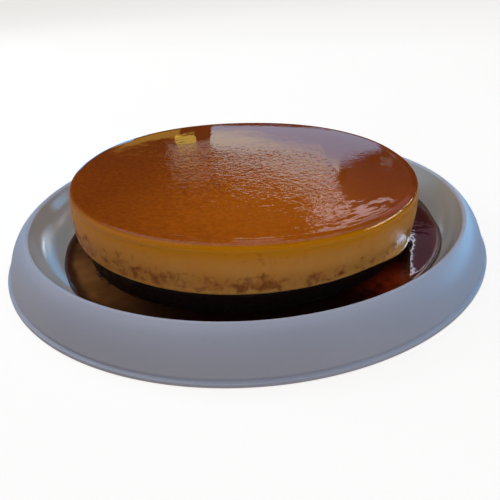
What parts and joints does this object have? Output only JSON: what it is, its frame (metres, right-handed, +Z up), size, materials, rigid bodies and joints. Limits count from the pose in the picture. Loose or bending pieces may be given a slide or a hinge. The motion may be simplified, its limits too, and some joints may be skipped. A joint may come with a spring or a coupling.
{
  "type": "chocoflan",
  "caption": "Round chocoflan: a custard flan with a caramel top on a chocolate cake, standing in a syrup pool in a round white dish with a turned-down rim.",
  "frame": {"origin": "centre of the dish's foot, on the surface that it stands on", "axes": "+Z up along the dish's axis, -Y towards the side that is seen from the front, +X to the right of that view"},
  "size_m": [0.3082, 0.3082, 0.0509],
  "materials": {
    "white_glaze": "gloss",
    "dark_syrup": "gloss",
    "moist_chocolate": "satin",
    "custard": "satin",
    "caramel": "gloss"
  },
  "bodies": {
    "root": {"dish": "white_glaze", "syrup": "dark_syrup", "chocolate_cake": "moist_chocolate", "flan": "custard", "caramel_layer": "caramel"}
  },
  "joints": []
}
